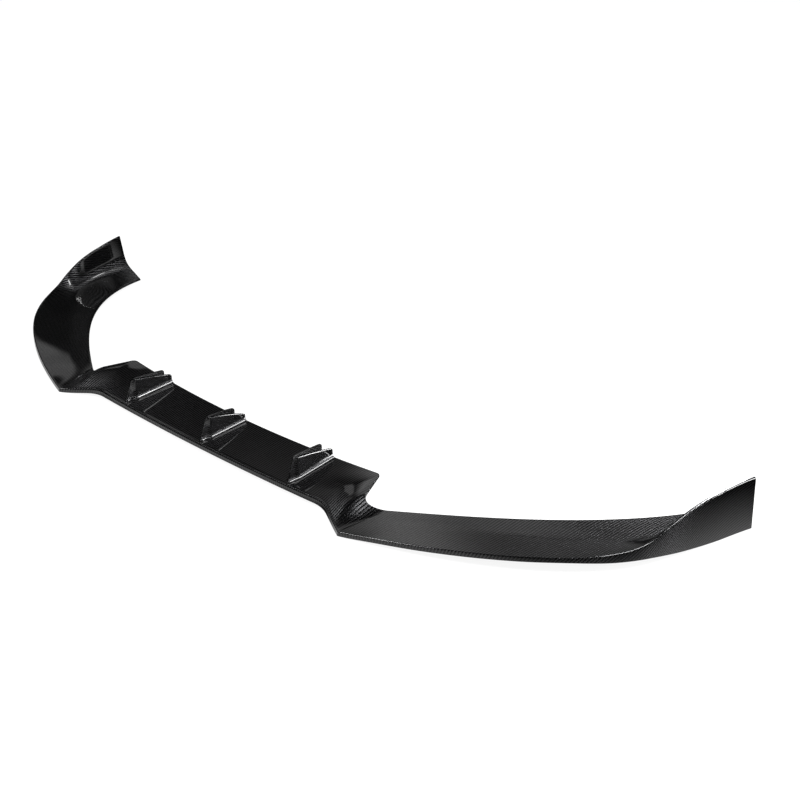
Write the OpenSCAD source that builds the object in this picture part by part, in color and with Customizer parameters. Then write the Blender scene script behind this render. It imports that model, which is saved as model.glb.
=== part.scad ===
// Front splitter lip: one laminated moulding that runs under the whole front bumper.
// X runs across the car, +Y towards its rear, +Z up. The origin is on the ground, at the
// middle of the width and depth; the modules measure Y from the wings' two front corners.

/* [Overall] */
// Width over the two wing tips
width = 1800; // [1700:10:1900]
// Depth from the front corners to the cut ends of the wings
depth = 507; // [480:1:540]
// Thickness of the laminate
skin = 3; // [2:0.5:4]
// Height of the turned-down band along the front edge
band_h = 9; // [7:0.5:14]

/* [Middle panel] */
// Half width of the panel along its rear edge
panel_half = 360; // [330:5:380]
// Half width of the panel along its front edge
break_half = 334; // [300:2:340]
// Distance of the panel's front edge behind the front corners, at the centre
setback = 31; // [20:1:40]
// How far that front edge bows back towards its ends
front_bow = 9; // [0:1:15]
// Depth of the panel from front to rear, at the centre
panel_l = 106; // [90:1:115]
// How far the rear edge bows back towards its ends
rear_bow = 20; // [0:1:30]
// Height of the panel's front bottom edge over the ground
panel_z = 8.4; // [4:0.2:12]
// Rise of the panel towards the rear, in degrees
panel_tilt = 9.6; // [6:0.2:12]
// Radius of the panel's rear corners
corner_r = 8; // [2:1:16]
// Fullness of the panel's outer ends, over the straight line from rear to front
shoulder = 10; // [0:1:14]

/* [Step to the wings] */
// Half width at the wings' front corners
corner_half = 412; // [405:1:430]
// Half width at the foot of the notch, where the wing's rear edge starts
notch_half = 432; // [425:1:450]
// Distance of the notch's foot behind the front corners
notch_y = 98.5; // [90:0.5:110]
// Height of the wing's rear edge at the notch
notch_z = 17.5; // [14:0.5:22]
// Depth of the notch's side, from the panel's rear corner
notch_side = 66; // [50:1:70]
// Radius of the front break between panel and step
break_r = 22; // [5:1:40]

/* [Wings] */
// Angle of the leading edge at the front corner, from the X axis
lead_angle = 15; // [10:1:20]
// Distance of the leading edge's bend inside the tip
bend_in = 56; // [45:1:70]
// Distance of the bend in front of the cut end
bend_back = 219; // [200:1:240]
// Angle of the leading edge at its bend, from the X axis
bend_angle = 70; // [65:1:74]
// Angle of the leading edge at the cut end, from the X axis
tip_angle = 74; // [70:1:80]
// Angle of the rear edge at the notch, from the X axis
trail_angle = 29.5; // [25:0.5:35]
// Angle of the rear edge at the cut end, from the X axis
trail_tip_angle = 71; // [66:1:76]
// Height of the arch under the leading edge
arch_h = 20; // [10:1:25]
// Floor width at the cut end
tip_floor = 81; // [70:1:95]
// Height of the floor's inner corner at the cut end
tip_z = 4.3; // [3.5:0.1:8]

/* [Side fences] */
// Height of the fence at the cut end
fence_h = 98; // [80:1:110]
// Width of the fence's rounded rim
rim_w = 6; // [4:0.5:8]
// Lean of the fence's outer face over its height
fence_lean = 2.8; // [1:0.2:6]
// Solid depth of the fold under the fence's rim
fold_h = 28; // [12:1:40]

/* [Fins] */
// Distance from the centre fin to the outer ones
fin_pitch = 240; // [200:5:260]
// Distance of a fin's nose behind the panel's front edge
fin_set = 5; // [4:0.5:12]
// Distance of a fin's rear end in front of the panel's rear edge
fin_end = 1; // [0.5:0.5:10]
// Height of a fin's top over the foot of its nose
fin_h = 44; // [30:1:50]
// Fall of the outer fins' top edges towards the rear
fin_fall = 9; // [0:1:14]
// Fall of the centre fin's top edges towards the rear
mid_fall = 13; // [0:1:16]
// Radius of a blade's upper rear corner
fin_corner = 4; // [1:0.5:6]
// Rake of the nose, measured along Y
fin_rake = 18.5; // [10:0.5:24]
// Length of the chamfered bow
bow_l = 25; // [22:0.5:32]
// Half width of the bow at its end
bow_w = 5.6; // [5:0.1:8]
// Half width of an outer fin at its rear
fin_w = 15.7; // [12:0.1:20]
// Half width of the centre fin at its rear
mid_w = 18; // [14:0.1:22]
// Half width of the nose's leading edge
edge_w = 1; // [0.6:0.1:2]
// Thickness of a blade at its top
blade_t = 4.5; // [3:0.5:6]
// Lean of a blade's outer face, in degrees
blade_draft = 3; // [0:0.5:5]
// Radius of the fillet round a blade's foot at its nose
foot_r = 6; // [3:0.5:8]
// Radius of that fillet at the rear
foot_rear_r = 9; // [3:0.5:10]
// Turn of the outer fins towards the centre line, in degrees
fin_toe = 3.2; // [0:0.2:6]

/* [Hidden] */

CARBON = [0.035, 0.035, 0.04];

// Stations of the loft on each half: across the panel, round the step and along the wing
PANEL_N = 8;
STEP_N = 20;
WING_N = 40;
// Points round the valley or crown of a section, and round each corner of its crest
VALLEY_N = 8;
CREST_N = 3;

tip_half = width / 2;
slope = tan(panel_tilt);
rear_y = setback + panel_l;
draft = 1;

// Plain helpers: straight blend, smooth step, unit direction, cubic and quadratic curves
function mix(a, b, t) = a + (b - a) * t;
function clamp(t) = min(max(t, 0), 1);
function smooth(t) = let (c = clamp(t)) c * c * (3 - 2 * c);
function unit(v) = v / norm(v);
function heading(a) = [cos(a), sin(a)];
function cubic(a, b, c, d, t) =
    let (u = 1 - t) u * u * u * a + 3 * u * u * t * b + 3 * u * t * t * c + t * t * t * d;
function bend(a, b, c, t) = mix(mix(a, b, t), mix(b, c, t), t);

// Smooth curve through values at equal steps, for t from 0 to 1
function through(v, t) =
    let (
        n = len(v) - 1,
        s = clamp(t) * n,
        i = min(floor(s), n - 1),
        f = s - i,
        a = v[max(i - 1, 0)],
        b = v[i],
        c = v[i + 1],
        d = v[min(i + 2, n)]
    )
    b + 0.5 * f * (c - a + f * (2 * a - 5 * b + 4 * c - d + f * (3 * (b - c) + d - a)));

// Cubic between two points of the plan, with its end angles and its handles as shares of the chord
function sweep(a, a_angle, a_share, b, b_angle, b_share, t) =
    let (chord = norm(b - a))
    cubic(a, a + heading(a_angle) * chord * a_share, b - heading(b_angle) * chord * b_share, b, t);

// Top of the middle panel, a true plane that rises towards the rear
function panel_top(y) = panel_z + band_h + slope * (y - setback);

// A station is the rear edge's top point, the front edge's bottom point, the height of the crest,
// the section's bend (its share of the chord, its height over the chord and its length), the width
// of the rim, the lean of the front face and the solid depth under the crest
function station(rear, foot, crest, share, lift, reach, rim, lean, fold) =
    [rear, foot, crest, share, lift, reach, rim, lean, fold];

// Front and rear edges of the panel, at a distance from the centre line
function front_edge(x) = setback + front_bow * pow(x / break_half, 2);
function rear_edge(x) = rear_y + rear_bow * pow(x / panel_half, 2);

// Middle panel: q runs from 0 on the centre line to 1 at the panel's corners
function panel_station(q) =
    let (
        x0 = q * (panel_half - corner_r),
        x1 = q * (break_half - break_r),
        y0 = rear_edge(x0),
        y1 = front_edge(x1),
        away = unit([x0 - x1, y0 - y1])
    )
    station(
        [x0, y0, panel_top(y0)], [x1, y1, panel_z],
        panel_top(y1 + (draft + rim_w) * away[1]), 0.5, shoulder * smooth((q - 0.8) / 0.4),
        35, rim_w, draft, skin
    );

// Step: q runs from 0 at the panel's corners to 1 at the wings' front corners
panel_corner = [panel_half, rear_edge(panel_half)];
front_break = [break_half, setback + front_bow];
front_corner = [corner_half, 0];
notch_foot = [notch_half, notch_y];
notch_angle = -66;
side_end = panel_corner + heading(notch_angle) * notch_side;
side_z = panel_top(panel_corner[1]) - 4.2;
corner_start = [panel_half - corner_r, rear_edge(panel_half - corner_r)];
corner_end = panel_corner + heading(notch_angle) * corner_r;
corner_z = mix(panel_top(panel_corner[1]), side_z, corner_r / notch_side);

function notch_path(q) =
    q < 0.2 ? let (t = q / 0.2)
        concat(
            bend(corner_start, panel_corner, corner_end, t),
            mix(panel_top(corner_start[1]), corner_z, t)
        )
    : q < 0.5 ? let (t = (q - 0.2) / 0.3)
        concat(mix(corner_end, side_end, t), mix(corner_z, side_z, t))
    : let (t = 2 * q - 1)
        concat(
            sweep(side_end, notch_angle, 0.44, notch_foot, trail_angle, 0.74, t),
            cubic(side_z, side_z - 2.6, notch_z + 1.4, notch_z, t)
        );

function break_path(q) =
    let (
        run = unit(front_corner - front_break),
        bent = 0.35,
        start = [front_break[0] - break_r, front_edge(front_break[0] - break_r)],
        end = front_break + run * break_r
    )
    q < bent ? bend(start, front_break, end, q / bent) : mix(end, front_corner, (q - bent) / (1 - bent));

function step_station(q) =
    let (foot_z = panel_z * (1 - smooth(q)))
    station(
        notch_path(q), concat(break_path(q), foot_z),
        foot_z + band_h + mix(slope * (front_bow + draft + rim_w), 0, smooth(q)),
        mix(0.5, 0.36, smooth(2 * q - 1)),
        mix(shoulder * smooth((q + 0.5) / 1), -2, smooth(1.6 * q - 0.6)),
        mix(35, 12, smooth(q)), mix(rim_w, rim_w / 2, smooth(q)), draft, skin
    );

// Wing: t runs from 0 at the notch to 1 at the cut end
bend_share = 0.7;
bend_point = [tip_half - bend_in, depth - bend_back];
tip_foot = [tip_half, depth];
tip_corner = [tip_half - tip_floor, depth];

// Heights along the wing, as shares at equal steps
ARCH = [0, 0.28, 0.5, 0.72, 0.9, 1, 0.85, 0.66, 0.26, 0, 0];
RISE = [0, 0, 0, 0, 0, 0, 0, 0, 0, 0, 0, 0.03, 0.075, 0.13, 0.24, 0.47, 0.69, 0.84, 0.93, 0.98, 1];
// Place of the valley between floor and fence, as a share of the section
VALLEY = [0.36, 0.36, 0.36, 0.36, 0.37, 0.42, 0.48, 0.64, 0.86, 0.85, 0.76];
// Slope of the floor between the rear edge and the valley
FLOOR = [-0.08, -0.08, -0.08, -0.08, -0.08, -0.07, -0.03, 0.04, 0.12, 0.28, 0.45];

function trail_path(t) =
    concat(
        sweep(notch_foot, trail_angle, 0.34, tip_corner, trail_tip_angle, 0.38, t),
        cubic(notch_z, notch_z + 11, notch_z + 9.8, tip_z, t)
    );

function lead_path(t) =
    concat(
        t < bend_share
        ? sweep(front_corner, lead_angle, 0.31, bend_point, bend_angle, 0.3, t / bend_share)
        : sweep(bend_point, bend_angle, 0.3, tip_foot, tip_angle, 0.3, (t - bend_share) / (1 - bend_share)),
        max(0, arch_h * through(ARCH, t))
    );

function wing_station(t) =
    let (
        rear = trail_path(t),
        foot = lead_path(t),
        rise = through(RISE, t),
        crest = foot[2] + mix(band_h, fence_h, rise),
        chord = norm([foot[0] - rear[0], foot[1] - rear[1]]),
        share = through(VALLEY, t),
        line = mix(rear[2], crest, share),
        valley = rear[2] + through(FLOOR, t) * chord * share
    )
    station(
        rear, foot, crest, share, valley - line, mix(12, 22, rise),
        mix(rim_w / 2, rim_w, rise), mix(draft, fence_lean, rise), mix(skin, fold_h, smooth(rise))
    );

stations = concat(
    [for (i = [0 : PANEL_N - 1]) panel_station(i / PANEL_N)],
    [for (i = [0 : STEP_N - 1]) step_station(i / STEP_N)],
    [for (i = [0 : WING_N]) wing_station(i / WING_N)]
);

// Points round a corner b between a and c, reaching d along each leg
function rounded(a, b, c, d, n) =
    let (p = b + unit(a - b) * d, q = b + unit(c - b) * d)
    [for (i = [0 : n]) bend(p, b, q, i / n)];

// The same points moved to the right of their path by the skin
function rounded_under(a, b, c, d, n) =
    let (p = b + unit(a - b) * d, q = b + unit(c - b) * d)
    [
        for (i = [0 : n])
            let (t = i / n, go = unit(mix(b - p, q - b, t)))
            bend(p, b, q, t) + skin * [go[1], -go[0]]
    ];

// Closed section of a station, as points of the part: over the top, down the front and back below
function section(s) =
    let (
        rear = s[0],
        foot = s[1],
        plan = [foot[0] - rear[0], foot[1] - rear[1]],
        chord = norm(plan),
        way = plan / chord,
        lean = s[7],
        a = [0, rear[2]],
        c = [chord - lean - s[6], s[2]],
        k = mix(a, c, s[3]) + [0, s[4]],
        d = [chord - lean, s[2]],
        e = [chord, foot[2]],
        r = s[6] * 0.45,
        over = concat(
            [a], rounded(a, k, c, s[5], VALLEY_N), rounded(k, c, d, r, CREST_N - 1),
            rounded(c, d, e, r, CREST_N), [e]
        ),
        under = rounded_under(a, k, c, s[5], VALLEY_N),
        fold = [chord - lean - skin, s[2] - s[8]],
        ring = concat(
            over, [[chord - skin, foot[2]], fold],
            [for (i = [VALLEY_N : -1 : 0]) under[i]], [[0, rear[2] - skin]]
        )
    )
    [for (p = ring) [rear[0] + way[0] * p[0], rear[1] + way[1] * p[0], p[1]]];

function mirrored(ring) = [for (p = ring) [-p[0], p[1], p[2]]];

// Skin through a row of closed rings; cap is the triangles that close the first one
module loft(rings, cap, flip = false) {
    n = len(rings[0]);
    last = (len(rings) - 1) * n;
    sides = [
        for (i = [0 : len(rings) - 2], j = [0 : n - 1])
            let (a = i * n + j, b = i * n + (j + 1) % n, c = b + n, d = a + n)
            each [[a, d, c], [a, c, b]]
    ];
    faces = concat(sides, cap, [for (t = cap) [last + t[2], last + t[1], last + t[0]]]);
    polyhedron(
        points = [for (r = rings) each r],
        faces = flip ? [for (t = faces) [t[2], t[1], t[0]]] : faces
    );
}

// Triangles between the first points of a ring and the last ones that face them
function strip_cap(n, count) =
    [for (j = [0 : count - 1]) each [[j, j + 1, n - 1 - j], [j + 1, n - 2 - j, n - 1 - j]]];

// Laminate lofted through all the sections from the left tip to the right one
module shell() {
    half = [for (s = stations) section(s)];
    rings = concat([for (i = [len(half) - 1 : -1 : 1]) mirrored(half[i])], half);
    n = len(rings[0]);
    strip = VALLEY_N + 1;
    fold = n - strip - 2;
    cap = concat(
        strip_cap(n, strip),
        [for (j = [strip : fold - 2]) [j, j + 1, fold]],
        [[strip, fold, fold + 1]]
    );
    loft(rings, cap);
}

// Fin of length l and rear half width w, with the foot of its nose at the origin: two blades
// part behind a chamfered bow
nose_power = 1.15;
function fin_top(y, l, fall) =
    let (c = max(0, y - (l - fin_corner)))
    y < fin_rake
    ? fin_h * pow(y / fin_rake, nose_power)
    : fin_h - fall * pow((y - fin_rake) / (l - fin_rake), 1.6)
      - (fin_corner - sqrt(fin_corner * fin_corner - c * c));
function blade_w(y, l, w) = mix(bow_w, w, (y - bow_l) / (l - bow_l));
function outer_w(y, z, l, w, top) =
    let (nose = fin_rake * pow(clamp(z / fin_h), 1 / nose_power), u = clamp((y - nose) / (bow_l - nose)))
    mix(edge_w, blade_w(y, l, w) + tan(blade_draft) * (top - z), u);

module blade(side, l, w, fall) {
    sink = skin / 2;
    lap = 0.6;
    round_r = 1;
    ys = concat(
        [for (i = [0 : 6]) mix(1, fin_rake, i / 6)],
        [for (i = [1 : 2]) mix(fin_rake, bow_l + 4, i / 2)],
        [for (i = [1 : 6]) mix(bow_l + 4, l - fin_corner, i / 6)],
        [for (i = [1 : 3]) l - fin_corner + (fin_corner - 0.4) * sin(30 * i)]
    );
    rings = [
        for (y = ys)
            let (
                low = slope * y,
                top = fin_top(y, l, fall),
                h = max(top - low, 1),
                r = min(mix(foot_r, foot_rear_r, y / l), 0.6 * h),
                e = min(round_r, 0.1 * h),
                inner = y < bow_l ? -lap : blade_w(y, l, w) - blade_t,
                inside = [-sink, h - e, h],
                outside = [h, h - e, mix(r, h, 0.5), r, 0.5 * r, 0.13 * r, 0, -sink],
                flare = [0, 0, 0, 0, 0.13 * r, 0.5 * r, r, r],
                cut = [e, 0, 0, 0, 0, 0, 0, 0]
            )
            concat(
                [for (z = inside) [side * (inner + (z < h ? 0 : min(e, lap / 2))), y, low + z]],
                [
                    for (i = [0 : 7])
                        let (z = low + outside[i])
                        [side * (outer_w(y, z, l, w, low + h) + flare[i] - min(cut[i], edge_w / 2)), y, z]
                ]
            )
    ];
    n = len(rings[0]);
    cap = [for (j = [1 : n - 2]) [0, j, j + 1]];
    loft(rings, cap, side < 0);
}

module fin(l, w, fall) {
    blade(1, l, w, fall);
    blade(-1, l, w, fall);
}

module splitter_lip() {
    color(CARBON) translate([0, -depth / 2, 0]) union() {
        shell();
        for (k = [-1 : 1])
            let (
                x = k * fin_pitch,
                nose_y = front_edge(x) + fin_set,
                l = rear_edge(x) - fin_end - nose_y
            )
            translate([x, nose_y, panel_top(nose_y)])
                rotate([0, 0, k * fin_toe])
                    fin(l, k == 0 ? mid_w : fin_w, k == 0 ? mid_fall : fin_fall);
    }
}

splitter_lip();
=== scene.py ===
import math

import bmesh
import bpy
import numpy as np
from mathutils import Matrix, Vector


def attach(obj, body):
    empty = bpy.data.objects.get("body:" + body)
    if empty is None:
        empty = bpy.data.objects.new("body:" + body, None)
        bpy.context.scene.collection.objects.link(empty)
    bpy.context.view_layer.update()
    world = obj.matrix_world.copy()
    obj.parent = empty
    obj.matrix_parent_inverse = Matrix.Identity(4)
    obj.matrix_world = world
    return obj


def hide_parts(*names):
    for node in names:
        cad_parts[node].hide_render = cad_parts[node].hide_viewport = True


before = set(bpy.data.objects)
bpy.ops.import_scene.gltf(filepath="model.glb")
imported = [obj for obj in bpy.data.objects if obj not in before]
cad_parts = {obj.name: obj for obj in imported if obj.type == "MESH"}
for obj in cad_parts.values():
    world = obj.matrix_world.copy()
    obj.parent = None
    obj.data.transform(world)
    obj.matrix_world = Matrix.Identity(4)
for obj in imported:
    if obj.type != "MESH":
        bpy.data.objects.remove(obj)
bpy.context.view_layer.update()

# Sizes in mm and degrees, the same as in the part's source; y counts from the wings' front corners
# Overall: width, depth, laminate, height of the band along the front edge
WIDTH, DEPTH, SKIN, BAND = 1800.0, 507.0, 3.0, 9.0

# Middle panel: half width at the rear and at the front, its front edge and the bow of that edge
PANEL_HALF, BREAK_HALF, SETBACK, FRONT_BOW = 360.0, 334.0, 31.0, 9.0
# Depth, bow of the rear edge, height of the front bottom edge, rise towards the rear
PANEL_L, REAR_BOW, PANEL_Z, PANEL_TILT = 106.0, 20.0, 8.4, 9.6
# Radius of the rear corners and fullness of the outer ends
CORNER_R, SHOULDER = 8.0, 10.0

# Step to the wings: front corner, foot of the notch, its height, its side and that side's heading
CORNER_HALF, NOTCH_HALF, NOTCH_Y, NOTCH_Z = 412.0, 432.0, 98.5, 17.5
NOTCH_SIDE, NOTCH_A, BREAK_R = 66.0, -66.0, 22.0

# Wings: headings of the leading edge at the corner, the bend and the tip, and the bend's place
LEAD_A, BEND_A, TIP_A, BEND_IN, BEND_BACK = 15.0, 70.0, 74.0, 56.0, 219.0
# Headings of the rear edge at the notch and the tip, arch under the lead, floor at the cut end
TRAIL_A, TRAIL_TIP_A, ARCH_H, TIP_FLOOR, TIP_Z = 29.5, 71.0, 20.0, 81.0, 4.3

# Side fences: height, width of the rim, lean of the outer face, solid depth of the fold
FENCE_H, RIM_W, FENCE_LEAN, FOLD_H = 98.0, 6.0, 2.8, 28.0

# Fins: spacing, distances to the panel's front and rear edges, height, falls of the top edges
FIN_PITCH, FIN_SET, FIN_END, FIN_H, FIN_FALL, MID_FALL = 240.0, 5.0, 1.0, 44.0, 9.0, 13.0
# Upper rear corner, rake of the nose, length and half width of the bow, half widths at the rear
FIN_CORNER, FIN_RAKE, BOW_L, BOW_W, FIN_W, MID_W = 4.0, 18.5, 25.0, 5.6, 15.7, 18.0
# Leading edge, blade thickness, draft, foot fillet at the nose and the rear, toe, nose curve
EDGE_W, BLADE_T, BLADE_DRAFT, FOOT_R, FOOT_REAR_R = 1.0, 4.5, 3.0, 6.0, 9.0
FIN_TOE, NOSE_POWER = 3.2, 1.15

DRAFT = 1.0
SLOPE = math.tan(math.radians(PANEL_TILT))
REAR_Y = SETBACK + PANEL_L
TIP_HALF = WIDTH / 2

# Curves along a wing, from the notch to the cut end: arch, rise to the fence, place of the valley
# as a share of the section, and how far the floor lies from the rear edge's height
ARCH = [0, 0.28, 0.5, 0.72, 0.9, 1, 0.85, 0.66, 0.26, 0, 0]
RISE = [0, 0, 0, 0, 0, 0, 0, 0, 0, 0, 0, 0.03, 0.075, 0.13, 0.24, 0.47, 0.69, 0.84, 0.93, 0.98, 1]
VALLEY = [0.36, 0.36, 0.36, 0.36, 0.37, 0.42, 0.48, 0.64, 0.86, 0.85, 0.76]
FLOOR = [-0.08, -0.08, -0.08, -0.08, -0.08, -0.07, -0.03, 0.04, 0.12, 0.28, 0.45]


def vec(*v):
    return np.array(v, float)


def mix(a, b, t):
    return a + (b - a) * t


def clamp(t):
    return min(max(t, 0.0), 1.0)


def smooth(t):
    c = clamp(t)
    return c * c * (3 - 2 * c)


def unit(v):
    return v / np.linalg.norm(v)


def heading(a):
    return vec(math.cos(math.radians(a)), math.sin(math.radians(a)))


def cubic(a, b, c, d, t):
    u = 1 - t
    return u * u * u * a + 3 * u * u * t * b + 3 * u * t * t * c + t * t * t * d


def bend(a, b, c, t):
    return mix(mix(a, b, t), mix(b, c, t), t)


def through(v, t):
    n = len(v) - 1
    s = clamp(t) * n
    i = min(int(s), n - 1)
    f = s - i
    a, b, c, d = v[max(i - 1, 0)], v[i], v[i + 1], v[min(i + 2, n)]
    return b + 0.5 * f * (c - a + f * (2 * a - 5 * b + 4 * c - d + f * (3 * (b - c) + d - a)))


def sweep(a, aa, ash, b, ba, bsh, t):
    chord = np.linalg.norm(b - a)
    return cubic(a, a + heading(aa) * chord * ash, b - heading(ba) * chord * bsh, b, t)


def panel_top(y):
    return PANEL_Z + BAND + SLOPE * (y - SETBACK)


def front_edge(x):
    return SETBACK + FRONT_BOW * (x / BREAK_HALF) ** 2


def rear_edge(x):
    return REAR_Y + REAR_BOW * (x / PANEL_HALF) ** 2


def panel_station(q):
    x0, x1 = q * (PANEL_HALF - CORNER_R), q * (BREAK_HALF - BREAK_R)
    y0, y1 = rear_edge(x0), front_edge(x1)
    away = unit(vec(x0 - x1, y0 - y1))
    return dict(rear=vec(x0, y0, panel_top(y0)), foot=vec(x1, y1, PANEL_Z),
                crest=panel_top(y1 + (DRAFT + RIM_W) * away[1]), share=0.5,
                lift=SHOULDER * smooth((q - 0.8) / 0.4), reach=35.0,
                rim=RIM_W, lean=DRAFT, fold=SKIN)


PANEL_CORNER = vec(PANEL_HALF, rear_edge(PANEL_HALF))
FRONT_BREAK = vec(BREAK_HALF, SETBACK + FRONT_BOW)
FRONT_CORNER = vec(CORNER_HALF, 0)
NOTCH_FOOT = vec(NOTCH_HALF, NOTCH_Y)
SIDE_END = PANEL_CORNER + heading(NOTCH_A) * NOTCH_SIDE
SIDE_Z = panel_top(PANEL_CORNER[1]) - 4.2
CORNER_START = vec(PANEL_HALF - CORNER_R, rear_edge(PANEL_HALF - CORNER_R))
CORNER_END = PANEL_CORNER + heading(NOTCH_A) * CORNER_R
CORNER_Z = mix(panel_top(PANEL_CORNER[1]), SIDE_Z, CORNER_R / NOTCH_SIDE)


def notch_path(q):
    if q < 0.2:
        t = q / 0.2
        p = bend(CORNER_START, PANEL_CORNER, CORNER_END, t)
        z = mix(panel_top(CORNER_START[1]), CORNER_Z, t)
    elif q < 0.5:
        t = (q - 0.2) / 0.3
        p, z = mix(CORNER_END, SIDE_END, t), mix(CORNER_Z, SIDE_Z, t)
    else:
        t = 2 * q - 1
        p = sweep(SIDE_END, NOTCH_A, 0.44, NOTCH_FOOT, TRAIL_A, 0.74, t)
        z = cubic(SIDE_Z, SIDE_Z - 2.6, NOTCH_Z + 1.4, NOTCH_Z, t)
    return vec(p[0], p[1], z)


def break_path(q):
    run = unit(FRONT_CORNER - FRONT_BREAK)
    bent = 0.35
    start = vec(BREAK_HALF - BREAK_R, front_edge(BREAK_HALF - BREAK_R))
    end = FRONT_BREAK + run * BREAK_R
    if q < bent:
        return bend(start, FRONT_BREAK, end, q / bent)
    return mix(end, FRONT_CORNER, (q - bent) / (1 - bent))


def step_station(q):
    foot_z = PANEL_Z * (1 - smooth(q))
    f = break_path(q)
    return dict(rear=notch_path(q), foot=vec(f[0], f[1], foot_z),
                crest=foot_z + BAND + mix(SLOPE * (FRONT_BOW + DRAFT + RIM_W), 0, smooth(q)),
                share=mix(0.5, 0.36, smooth(2 * q - 1)),
                lift=mix(SHOULDER * smooth(q + 0.5), -2, smooth(1.6 * q - 0.6)),
                reach=mix(35.0, 12.0, smooth(q)), rim=mix(RIM_W, RIM_W / 2, smooth(q)), lean=DRAFT, fold=SKIN)


BEND_SHARE = 0.7
BEND_POINT = vec(TIP_HALF - BEND_IN, DEPTH - BEND_BACK)
TIP_FOOT = vec(TIP_HALF, DEPTH)
TIP_CORNER = vec(TIP_HALF - TIP_FLOOR, DEPTH)


def wing_station(t):
    p = sweep(NOTCH_FOOT, TRAIL_A, 0.34, TIP_CORNER, TRAIL_TIP_A, 0.38, t)
    rear = vec(p[0], p[1], cubic(NOTCH_Z, NOTCH_Z + 11, NOTCH_Z + 9.8, TIP_Z, t))
    if t < BEND_SHARE:
        f = sweep(FRONT_CORNER, LEAD_A, 0.31, BEND_POINT, BEND_A, 0.3, t / BEND_SHARE)
    else:
        past = (t - BEND_SHARE) / (1 - BEND_SHARE)
        f = sweep(BEND_POINT, BEND_A, 0.3, TIP_FOOT, TIP_A, 0.3, past)
    foot = vec(f[0], f[1], max(0.0, ARCH_H * through(ARCH, t)))
    rise = through(RISE, t)
    crest = foot[2] + mix(BAND, FENCE_H, rise)
    chord = np.linalg.norm(foot[:2] - rear[:2])
    share = through(VALLEY, t)
    line = mix(rear[2], crest, share)
    valley = rear[2] + through(FLOOR, t) * chord * share
    return dict(rear=rear, foot=foot, crest=crest, share=share, lift=valley - line,
                reach=mix(12.0, 22.0, rise), rim=mix(RIM_W / 2, RIM_W, rise),
                lean=mix(DRAFT, FENCE_LEAN, rise), fold=mix(SKIN, FOLD_H, smooth(rise)))


def rounded(a, b, c, d, n):
    p, q = b + unit(a - b) * d, b + unit(c - b) * d
    return [bend(p, b, q, i / n) for i in range(n + 1)]


def rounded_under(a, b, c, d, n):
    p, q = b + unit(a - b) * d, b + unit(c - b) * d
    out = []
    for i in range(n + 1):
        t = i / n
        go = unit(mix(b - p, q - b, t))
        out.append(bend(p, b, q, t) + SKIN * vec(go[1], -go[0]))
    return out


def span(a, b, n):
    return [mix(a, b, i / n) for i in range(1, n)]


# Points round the valley, broken edge of the laminate, and the crest's roundings as shares of its rim
VALLEY_N, CUT_EDGE, INNER_CREST, OUTER_CREST = 14, 0.7, 0.3, 0.65


def section(s):
    """One closed ring: the points, and how many of them are on the top side."""
    rear, foot = s["rear"], s["foot"]
    plan = foot[:2] - rear[:2]
    chord = np.linalg.norm(plan)
    way = plan / chord
    a = vec(0, rear[2])
    c = vec(chord - s["lean"] - s["rim"], s["crest"])
    k = mix(a, c, s["share"]) + vec(0, s["lift"])
    d = vec(chord - s["lean"], s["crest"])
    e = vec(chord, foot[2])
    valley = rounded(a, k, c, s["reach"], VALLEY_N)
    inner_crest = rounded(k, c, d, INNER_CREST * s["rim"], 5)
    outer_crest = rounded(c, d, e, OUTER_CREST * s["rim"], 9)
    go = unit(valley[0] - a)
    top = [a - vec(0, CUT_EDGE), a + go * 0.2 - vec(0, CUT_EDGE * 0.35), a + go * CUT_EDGE]
    top += span(a + go * CUT_EDGE, valley[0], 8) + valley + span(valley[-1], inner_crest[0], 10)
    top += inner_crest + span(inner_crest[-1], outer_crest[0], 2) + outer_crest
    down = unit(e - outer_crest[-1])
    top += span(outer_crest[-1], e - down * CUT_EDGE, 6) + [e - down * CUT_EDGE, e - vec(CUT_EDGE, 0)]
    fold = vec(chord - s["lean"] - SKIN, s["crest"] - s["fold"])
    under = rounded_under(a, k, c, s["reach"], VALLEY_N)[::-1]
    inner = vec(chord - SKIN, foot[2])
    low = [inner] + span(inner, fold, 6) + [fold] + span(fold, under[0], 6) + under
    low += span(under[-1], vec(0, rear[2] - SKIN), 6) + [vec(0, rear[2] - SKIN)]
    ring = top + low
    points = [[rear[0] + way[0] * p[0], rear[1] + way[1] * p[0], p[1]] for p in ring]
    return np.array(points), len(top)


# Stations of the loft on each half: across the panel, round the step and along the wing
PANEL_N, STEP_N, WING_N = 26, 64, 180


def stations():
    return ([panel_station(i / PANEL_N) for i in range(PANEL_N)]
            + [step_station(i / STEP_N) for i in range(STEP_N)]
            + [wing_station(i / WING_N) for i in range(WING_N + 1)])


def shell():
    """Rings of the whole shell from the left tip to the right one, and the top side's point count."""
    half = [section(s) for s in stations()]
    top_n = half[0][1]
    half = [h[0] for h in half]
    rings = [h * [-1, 1, 1] for h in half[:0:-1]] + half
    return np.array(rings), top_n


# Fins: finer rings of the same blades as in the source
def fin_top(y, l, fall):
    c = max(0.0, y - (l - FIN_CORNER))
    if y < FIN_RAKE:
        return FIN_H * (y / FIN_RAKE) ** NOSE_POWER
    return (FIN_H - fall * ((y - FIN_RAKE) / (l - FIN_RAKE)) ** 1.6
            - (FIN_CORNER - math.sqrt(max(FIN_CORNER ** 2 - c * c, 0))))


def outer_w(y, z, l, w, top):
    nose = FIN_RAKE * clamp(z / FIN_H) ** (1 / NOSE_POWER)
    u = clamp((y - nose) / (BOW_L - nose))
    draft = math.tan(math.radians(BLADE_DRAFT)) * (top - z)
    return mix(EDGE_W, mix(BOW_W, w, (y - BOW_L) / (l - BOW_L)) + draft, u)


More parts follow.
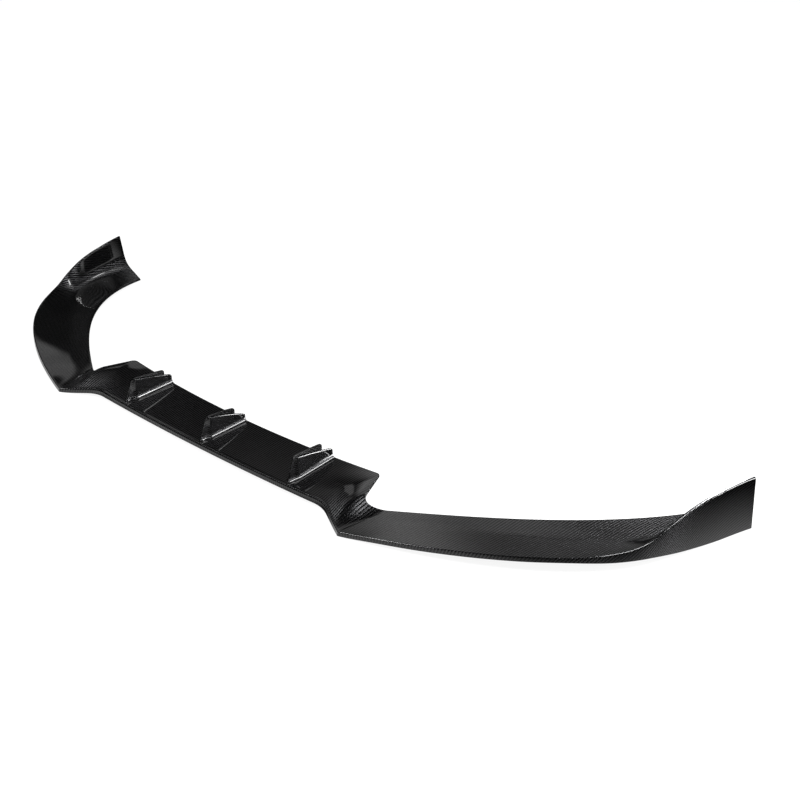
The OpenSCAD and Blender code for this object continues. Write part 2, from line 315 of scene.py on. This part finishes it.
def blade_rings(l, half, fall):
    """Rings of the right-hand blade of a fin, from its nose at the origin to its rear end."""
    ys = [mix(1, FIN_RAKE, i / 14) for i in range(15)]
    ys += [mix(FIN_RAKE, BOW_L, i / 4) for i in range(1, 5)]
    ys += [mix(BOW_L, l - FIN_CORNER, i / 24) for i in range(1, 25)]
    ys += [l - FIN_CORNER + (FIN_CORNER - 0.4) * math.sin(math.radians(15 * i)) for i in range(1, 7)]
    rings = []
    for y in ys:
        low = SLOPE * y
        top = fin_top(y, l, fall)
        h = max(top - low, 1.0)
        r = min(mix(FOOT_R, FOOT_REAR_R, y / l), 0.6 * h)
        e = min(1.0, 0.1 * h)
        inner = -0.6 if y < BOW_L else mix(BOW_W, half, (y - BOW_L) / (l - BOW_L)) - BLADE_T
        open_v = inner > 0
        ring = [(inner, -SKIN / 2)] + [(inner, z) for z in (0.2 * h, 0.5 * h, 0.8 * h, h - e)]
        ring += [(inner + e * 0.3 * open_v, h - 0.3 * e), (inner + e * open_v + 0.2 * (not open_v), h)]
        w = outer_w(y, low + h, l, half, low + h)
        cut = min(e, EDGE_W / 2)
        ring += [(w - cut, h), (w - 0.3 * cut, h - 0.3 * e)]
        faces = [h - e] + [mix(h - e, r, i / 7) for i in range(1, 8)]
        ring += [(outer_w(y, low + z, l, half, low + h), z) for z in faces]
        for i in range(1, 9):
            a = math.radians(90 * i / 8)
            z = r * (1 - math.sin(a))
            ring.append((outer_w(y, low + z, l, half, low + h) + r * (1 - math.cos(a)), z))
        ring.append((ring[-1][0], -SKIN / 2))
        rings.append([(x, y, low + z) for x, z in ring])
    return np.array(rings)


def grid_faces(rows, n, start, closed=True):
    """Quads between neighbouring rings of n points each."""
    out = []
    for i in range(rows - 1):
        for j in range(n if closed else n - 1):
            a, b = start + i * n + j, start + i * n + (j + 1) % n
            out.append((a, b, b + n, a + n))
    return out


def cap_faces(n, start, flip):
    ring = [start + j for j in range(n)]
    return ring[::-1] if flip else ring


verts, quads, caps, cloth = [], [], [], []


def add_rings(rings, uv, mirror=False, ends=()):
    rows, n = rings.shape[:2]
    start = len(verts)
    verts.extend(map(tuple, rings.reshape(-1, 3)))
    cloth.extend(map(tuple, uv.reshape(-1, 2)))
    f = grid_faces(rows, n, start)
    quads.extend([q[::-1] for q in f] if mirror else f)
    for k in ends:
        caps.append(cap_faces(n, start + (rows - 1) * n if k else start, bool(k) != mirror))


# The shell and its cloth coordinates: plan position with each section rolled out flat
rings, top_n = shell()
step = np.linalg.norm(np.diff(rings, axis=1), axis=2)
run = np.concatenate([np.zeros((len(rings), 1)), np.cumsum(step, 1)], 1)
run[:, top_n:] = run[:, top_n - 1:top_n] - (run[:, top_n:] - run[:, top_n - 1:top_n])
lead = rings[:, top_n - 1, :2] - rings[:, 0, :2]
way = lead / np.linalg.norm(lead, axis=1, keepdims=True)
uv = rings[:, :1, :2] + way[:, None, :] * run[:, :, None]
add_rings(rings, uv, ends=(0, 1))

# Turn of the cloth on a blade, in degrees, and how much finer its weave is
BLADE_TURN, BLADE_FINE = 40, 1.5

for k in (-1, 0, 1):
    x = k * FIN_PITCH
    nose = front_edge(x) + FIN_SET
    l = rear_edge(x) - FIN_END - nose
    a = math.radians(k * FIN_TOE)
    turn = np.array([[math.cos(a), math.sin(a), 0], [-math.sin(a), math.cos(a), 0], [0, 0, 1]])
    local = blade_rings(l, MID_W if k == 0 else FIN_W, MID_FALL if k == 0 else FIN_FALL)
    # the cloth on a blade: wales fall towards the rear, on a finer weave
    along = np.linalg.norm(np.diff(local[:, :, [0, 2]], axis=1), axis=2)
    up = local[:, :1, 2] - np.concatenate([np.zeros((len(local), 1)), np.cumsum(along, 1)], 1)
    c, s = math.cos(math.radians(BLADE_TURN)), math.sin(math.radians(BLADE_TURN))
    blade_uv = np.stack([-local[..., 1] * s - up * c, local[..., 1] * c - up * s], -1) * BLADE_FINE
    for side in (1, -1):
        world = (local * [side, 1, 1]) @ turn + [x, nose, panel_top(nose)]
        add_rings(world, blade_uv * [side, 1], mirror=side < 0, ends=(0, 1))

mesh = bpy.data.meshes.new("lip")
mesh.from_pydata([(x / 1000, (y - DEPTH / 2) / 1000, z / 1000) for x, y, z in verts], [], quads + caps)
layer = mesh.uv_layers.new(name="cloth")
loop_v = np.zeros(len(mesh.loops), int)
mesh.loops.foreach_get("vertex_index", loop_v)
layer.data.foreach_set("uv", (np.array(cloth)[loop_v] / 1000).ravel())
mesh.validate()
lip = bpy.data.objects.new("lip", mesh)
bpy.context.collection.objects.link(lip)
bm = bmesh.new()
bm.from_mesh(mesh)
bmesh.ops.recalc_face_normals(bm, faces=bm.faces)
for f in bm.faces:
    f.smooth = True
for e in bm.edges:
    e.smooth = not (len(e.link_faces) == 2 and e.calc_face_angle(0) > math.radians(38))
bm.to_mesh(mesh)
bm.free()
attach(lip, "root")
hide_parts("splitter_lip")


class Nodes:
    """Short calls for building a node tree."""

    def __init__(self, tree):
        self.tree = tree
        tree.nodes.clear()

    def add(self, kind, ins=None, **props):
        n = self.tree.nodes.new(kind)
        for k, v in props.items():
            setattr(n, k, v)
        for k, v in (ins or {}).items():
            self.put(v, n.inputs[k])
        return n

    def put(self, v, socket):
        if isinstance(v, bpy.types.NodeSocket):
            self.tree.links.new(v, socket)
        else:
            socket.default_value = v

    def math(self, op, a, b=0.0, c=0.0, clamp=False):
        return self.add("ShaderNodeMath", {0: a, 1: b, 2: c}, operation=op, use_clamp=clamp).outputs[0]

    def ramp(self, v, lo, hi, a=0.0, b=1.0, kind="SMOOTHSTEP"):
        ins = {"Value": v, "From Min": lo, "From Max": hi, "To Min": a, "To Max": b}
        return self.add("ShaderNodeMapRange", ins, interpolation_type=kind).outputs["Result"]

    def blend(self, factor, a, b):
        ins = {"Factor": factor, "A": a, "B": b}
        return self.add("ShaderNodeMix", ins, data_type="FLOAT").outputs["Result"]

    def grain(self, u, v):
        """Noise drawn out along u, for the fibres of a tow."""
        ins = {0: self.math("MULTIPLY", u, 0.3), 1: self.math("MULTIPLY", v, 9.0)}
        at = self.add("ShaderNodeCombineXYZ", ins)
        ins = {"Vector": at.outputs[0], "Scale": 1.0, "Detail": 1.0}
        return self.add("ShaderNodeTexNoise", ins).outputs["Fac"]


TOW = 0.00187  # width of a tow, in metres
# Painted sheen and shade: both tows are the same fibre, but the warp tows get a base colour nine times
# lighter than the weft tows, standing in for the sheen the lamps raise on one direction of fibre
PAINTED_WEFT_SHADE, PAINTED_WARP_SHEEN = 0.005, 0.045
WEFT_TURN, WARP_TURN = 0.125, 0.375  # direction of the fibres, in turns from the cloth's tangent


def carbon():
    """Twill cloth, two over and two under, under a clear gloss coat."""
    m = bpy.data.materials.new("carbon_twill")
    m.use_nodes = True
    t = Nodes(m.node_tree)
    uvn = t.add("ShaderNodeUVMap", uv_map="cloth").outputs["UV"]
    xy = t.add("ShaderNodeSeparateXYZ", {0: uvn})
    # the tows run at 45 degrees; u and v count them
    d = 1 / (TOW * math.sqrt(2))
    u = t.math("MULTIPLY", t.math("ADD", xy.outputs[0], xy.outputs[1]), d)
    v = t.math("MULTIPLY", t.math("SUBTRACT", xy.outputs[1], xy.outputs[0]), d)
    iu, iv = t.math("FLOOR", u), t.math("FLOOR", v)
    fu, fv = t.math("FRACT", u), t.math("FRACT", v)
    k = t.math("FLOORED_MODULO", t.math("SUBTRACT", iu, iv), 4.0)
    warp = t.math("LESS_THAN", k, 1.5)
    # height over a float: each tow rises over two crossings and is round across its width
    au = t.math("FLOORED_MODULO", t.math("SUBTRACT", u, iv), 4.0)
    av = t.math("FLOORED_MODULO", t.math("SUBTRACT", iu, v), 4.0)
    long_u = t.math("SINE", t.math("MULTIPLY", au, math.pi / 2))
    long_v = t.math("SINE", t.math("MULTIPLY", t.math("ADD", av, 2.0), math.pi / 2))
    across_u = t.math("SINE", t.math("MULTIPLY", fv, math.pi))
    across_v = t.math("SINE", t.math("MULTIPLY", fu, math.pi))
    hu = t.math("ADD", t.math("MULTIPLY", long_u, 0.5), t.math("MULTIPLY", across_u, 0.5))
    hv = t.math("ADD", t.math("MULTIPLY", long_v, 0.5), t.math("MULTIPLY", across_v, 0.5))
    h = t.blend(warp, hv, hu)
    # slow change of tone over the cloth, and fine fibres along each tow
    slow = t.add("ShaderNodeTexNoise", {"Vector": uvn, "Scale": 9.0, "Detail": 2.0}).outputs["Fac"]
    fibre = t.blend(warp, t.grain(v, u), t.grain(u, v))
    tone = t.math("MULTIPLY", t.ramp(fibre, 0.25, 0.75, 0.75, 1.2, "LINEAR"),
                  t.ramp(slow, 0.3, 0.7, 0.85, 1.1, "LINEAR"))
    # painted sheen: the warp tows are made lighter than the weft tows in their base colour
    tone = t.math("MULTIPLY", tone, t.blend(warp, PAINTED_WEFT_SHADE, PAINTED_WARP_SHEEN))
    cool = t.math("MULTIPLY", tone, 1.04)
    col = t.add("ShaderNodeCombineColor", {0: tone, 1: tone, 2: cool}).outputs[0]
    along = t.add("ShaderNodeTangent", direction_type="UV_MAP", uv_map="cloth").outputs[0]
    bump = t.add("ShaderNodeBump", {"Strength": 0.25, "Distance": 0.0003, "Height": h}).outputs[0]
    b = t.add("ShaderNodeBsdfPrincipled", {
        "Base Color": col, "Metallic": 1.0, "Roughness": 0.38, "Specular Tint": (0.4, 0.4, 0.4, 1),
        "Anisotropic": 0.9, "Anisotropic Rotation": t.blend(warp, WEFT_TURN, WARP_TURN),
        "Tangent": along, "Normal": bump,
        "Coat Weight": 1.0, "Coat Roughness": 0.025, "Coat IOR": 1.5})
    t.add("ShaderNodeOutputMaterial", {"Surface": b.outputs[0]})
    return m


lip.data.materials.append(carbon())


DARK = 0.01  # what the gloss sees where nothing glows


def light_world():
    """White for the camera, pale walls for the soft light, a dark studio for the gloss."""
    w = bpy.data.worlds.new("studio")
    bpy.context.scene.world = w
    w.use_nodes = True
    t = Nodes(w.node_tree)
    ray = t.add("ShaderNodeLightPath")
    way = t.add("ShaderNodeSeparateXYZ", {0: t.add("ShaderNodeTexCoord").outputs["Generated"]})
    # the dark studio has a pale horizon on the right
    horizon = t.ramp(way.outputs[0], 0.5, 0.7, 0.0, 1.3)
    horizon = t.math("MULTIPLY", t.ramp(way.outputs[2], 0.07, 0.03), horizon)
    level = t.blend(ray.outputs["Is Glossy Ray"], 0.6, t.math("ADD", horizon, DARK))
    level = t.blend(ray.outputs["Is Camera Ray"], level, 1.0)
    grey = t.add("ShaderNodeCombineColor", {0: level, 1: level, 2: level}).outputs[0]
    bg = t.add("ShaderNodeBackground", {"Color": grey, "Strength": 1.0})
    t.add("ShaderNodeOutputWorld", {"Surface": bg.outputs[0]})


light_world()


def card(name, az, el, away, wide, tall, soft, level, roll):
    """Glowing card with soft edges, seen by the gloss only."""
    a, e = math.radians(az), math.radians(el)
    z = Vector((math.sin(a) * math.cos(e), math.cos(a) * math.cos(e), math.sin(e)))
    side = Vector((math.cos(a), -math.sin(a), 0))
    x = side * math.cos(math.radians(roll)) + side.cross(z) * math.sin(math.radians(roll))
    w, h, s = (math.tan(math.radians(q)) * away for q in (wide, tall, soft))
    me = bpy.data.meshes.new(name)
    x1, y1 = w + s, h + s
    me.from_pydata([(-x1, -y1, 0), (x1, -y1, 0), (x1, y1, 0), (-x1, y1, 0)], [], [(0, 1, 2, 3)])
    o = bpy.data.objects.new(name, me)
    o.matrix_world = Matrix.Translation(z * away) @ Matrix((x, z.cross(x), z)).transposed().to_4x4()
    bpy.context.collection.objects.link(o)
    m = bpy.data.materials.new(name)
    m.use_nodes = True
    t = Nodes(m.node_tree)
    at = t.add("ShaderNodeSeparateXYZ", {0: t.add("ShaderNodeTexCoord").outputs["Object"]})
    u, v = t.math("ABSOLUTE", at.outputs[0]), t.math("ABSOLUTE", at.outputs[1])
    fade = t.math("MULTIPLY", t.ramp(u, x1, max(w - s, 0)), t.ramp(v, y1, max(h - s, 0), 0.0, level))
    glow = t.add("ShaderNodeEmission", {"Color": (1, 1, 1, 1), "Strength": fade}).outputs[0]
    clear = t.add("ShaderNodeBsdfTransparent", {"Color": (1, 1, 1, 1)}).outputs[0]
    both = t.add("ShaderNodeAddShader", {0: glow, 1: clear}).outputs[0]
    t.add("ShaderNodeOutputMaterial", {"Surface": both})
    me.materials.append(m)
    o.visible_camera = o.visible_diffuse = o.visible_shadow = False


# Azimuth from +Y towards +X and elevation as seen from the middle of the lip, distance in metres,
# half width, half height and softness in degrees, level, roll in degrees
card("card_wing", -39.0, 39.6, 1.61, 5.05, 9.28, 8.0, 0.75, 28.0)
card("card_low", -32.4, 18.2, 4.26, 7.68, 16.0, 5.42, 0.18, -11.7)
card("card_left", -85.4, 54.9, 1.71, 13.96, 16.0, 7.95, 0.22, -69.0)
card("card_rear", -23.1, 49.0, 1.63, 13.87, 8.85, 7.93, 0.57, -16.6)
card("card_corner", -60.5, 30.0, 10.0, 3.45, 2.6, 0.7, 0.47, -62.1)


FLOOR_HALF = 9.0  # half width of the floor, in metres
GLOW_POOL_REACH = 0.14  # how far the painted pool of light reaches past the part, in metres


def floor():
    """Pale paper that glows for the camera; the gloss sees instead a painted pool of light, a glow round the
    part that fades away from it.
    """
    me = bpy.data.meshes.new("floor")
    s = FLOOR_HALF
    me.from_pydata([(-s, -s, 0), (s, -s, 0), (s, s, 0), (-s, s, 0)], [], [(0, 1, 2, 3)])
    o = bpy.data.objects.new("floor", me)
    bpy.context.collection.objects.link(o)
    m = bpy.data.materials.new("floor_paper")
    m.use_nodes = True
    t = Nodes(m.node_tree)
    ray = t.add("ShaderNodeLightPath")
    plain = t.add("ShaderNodeBsdfDiffuse", {"Color": (0.8, 0.8, 0.8, 1)}).outputs[0]
    faint = t.add("ShaderNodeBsdfDiffuse", {"Color": (0.12, 0.12, 0.12, 1)}).outputs[0]
    glow = t.add("ShaderNodeEmission", {"Color": (1, 1, 1, 1), "Strength": 0.9}).outputs[0]
    seen = t.add("ShaderNodeAddShader", {0: faint, 1: glow}).outputs[0]
    # distance past the front edge, past the fences, and the larger of the two
    at = t.add("ShaderNodeSeparateXYZ", {0: t.add("ShaderNodeTexCoord").outputs["Object"]})
    x = t.math("ABSOLUTE", at.outputs[0])
    y = at.outputs[1]
    lead = t.math("DIVIDE", t.math("SUBTRACT", x, 0.412), 0.432)
    lead = t.math("POWER", t.math("MAXIMUM", lead, 0.0), 2.2)
    front = t.math("SUBTRACT", t.math("MULTIPLY_ADD", lead, 0.288, -DEPTH / 2000), y)
    front = t.math("MULTIPLY", front, 0.85)
    side = t.math("SUBTRACT", x, t.math("MULTIPLY_ADD", y, 0.256, 0.835))
    away = t.math("MAXIMUM", front, side)
    # painted pool of light: for the gloss the floor glows brightest at the part's outline and fades to
    # nothing within the reach set above; its reflection makes the fences' outer faces lighter towards the
    # bottom
    fade = t.math("POWER", t.ramp(away, 0.0, GLOW_POOL_REACH, 1.0, 0.0, "LINEAR"), 1.7)
    near = t.math("MULTIPLY", fade, t.ramp(away, -0.03, 0.0))
    white = {"Color": (1, 1, 1, 1), "Strength": t.math("ADD", near, DARK)}
    pool_glow = t.add("ShaderNodeEmission", white).outputs[0]
    other = {0: ray.outputs["Is Glossy Ray"], 1: plain, 2: pool_glow}
    other = t.add("ShaderNodeMixShader", other).outputs[0]
    paper = {0: ray.outputs["Is Camera Ray"], 1: other, 2: seen}
    paper = t.add("ShaderNodeMixShader", paper).outputs[0]
    t.add("ShaderNodeOutputMaterial", {"Surface": paper})
    me.materials.append(m)


floor()


def lamp(name, place, aim, size, level, along):
    """Area lamp of a given size and surface brightness, its first side turned along a direction."""
    d = bpy.data.lights.new(name, "AREA")
    d.shape = "RECTANGLE"
    d.size, d.size_y = size
    d.energy = level * size[0] * size[1] * math.pi
    o = bpy.data.objects.new(name, d)
    o.location = place
    z = (Vector(place) - Vector(aim)).normalized()
    x = Vector(along)
    x = (x - z * x.dot(z)).normalized()
    o.matrix_world = Matrix.Translation(place) @ Matrix((x, z.cross(x), z)).transposed().to_4x4()
    o.visible_camera = False
    bpy.context.collection.objects.link(o)


# Small lamps draw the bright lines on the crests and the fins and bring out the weave
lamp("key", (0.5, 2.6, 3.3), (0.1, -0.1, 0), (1.4, 0.4), 12, (0.9, -0.42, 0))
lamp("right", (3.0, -0.35, 4.1), (0.6, 0, 0), (1.1, 1.1), 18, (0, 1, 0))
lamp("top", (2.0, 0.2, 3.2), (0, 0, 0), (0.9, 0.9), 22, (1, -0.6, 0))
lamp("near", (1.9, 0.9, 3.3), (0, 0, 0), (0.8, 0.6), 20, (1, -0.6, 0))
lamp("left", (-1.56, -3.68, 5.12), (0, 0, 0), (2.0, 2.0), 22, (1, -0.4, 0))
lamp("side", (0.78, 0.36, 0.34), (0, -0.15, 0.03), (0.3, 0.3), 40, (0, 0, 1))
lamp("rim", (2.55, 1.3, 0.65), (0, -0.15, 0.03), (0.8, 0.8), 24, (0, 0, 1))

# The camera stands where the photo's stood
LENS, TILT, TURN = 63.5, 25.395, 44.016
cam = bpy.data.cameras.new("camera")
cam.lens = LENS
cam.sensor_width = 36
eye = bpy.data.objects.new("camera", cam)
eye.location = (1.91043, -1.65178, 1.22545)
eye.rotation_euler = (math.radians(90 - TILT), 0, math.radians(TURN))
bpy.context.collection.objects.link(eye)
bpy.context.scene.camera = eye
bpy.context.scene.view_settings.view_transform = "Standard"
